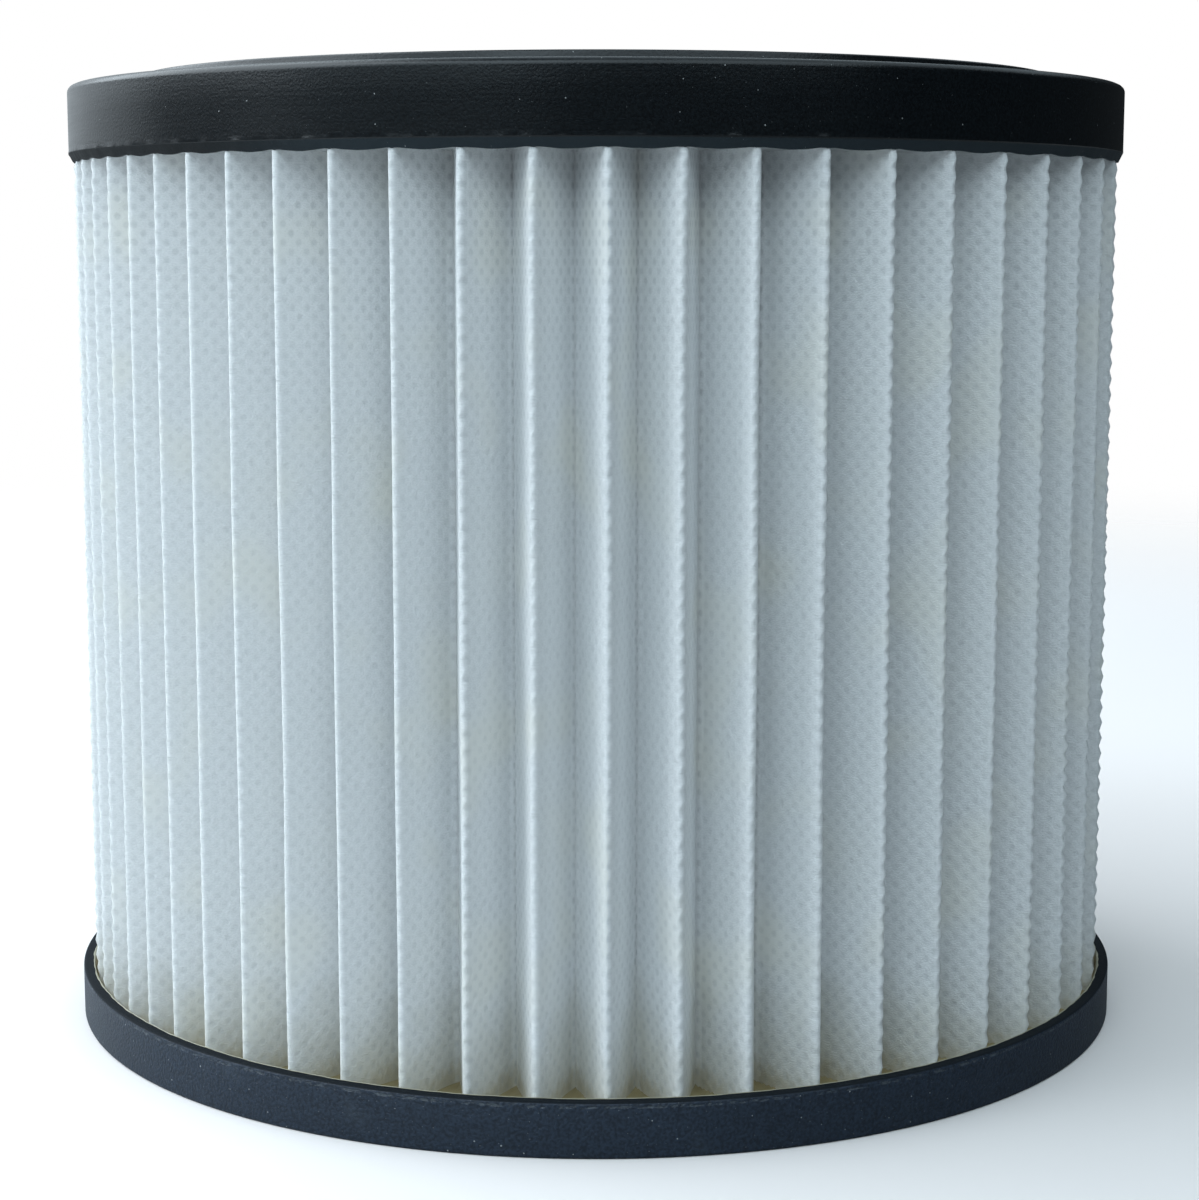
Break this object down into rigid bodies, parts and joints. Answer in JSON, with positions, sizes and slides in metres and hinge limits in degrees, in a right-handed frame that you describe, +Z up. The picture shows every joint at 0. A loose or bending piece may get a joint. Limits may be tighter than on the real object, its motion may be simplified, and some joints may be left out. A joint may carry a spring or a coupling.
{
  "type": "vacuum hepa filter",
  "caption": "Round cartridge filter for a vacuum cleaner: a white pleated sheet between a soft black top ring with an open bore and a closed black bottom tray.",
  "frame": {"origin": "centre of the bottom tray's foot, on the filter's axis", "axes": "+Z up along the filter's axis to the open bore, -Y towards the front, +X to the right seen from the front"},
  "size_m": [0.1624, 0.1624, 0.143],
  "materials": {
    "soft_black": "satin, cast",
    "black_plastic": "matte, moulded",
    "filter_fleece": "point-bonded fleece",
    "hot_melt": "set adhesive"
  },
  "bodies": {
    "root": {"top_end_cap": "soft_black", "bottom_end_cap": "black_plastic", "pleated_sheet": "filter_fleece", "support_cage": "black_plastic", "adhesive_bed": "hot_melt", "seam_bead": "hot_melt"}
  },
  "joints": []
}
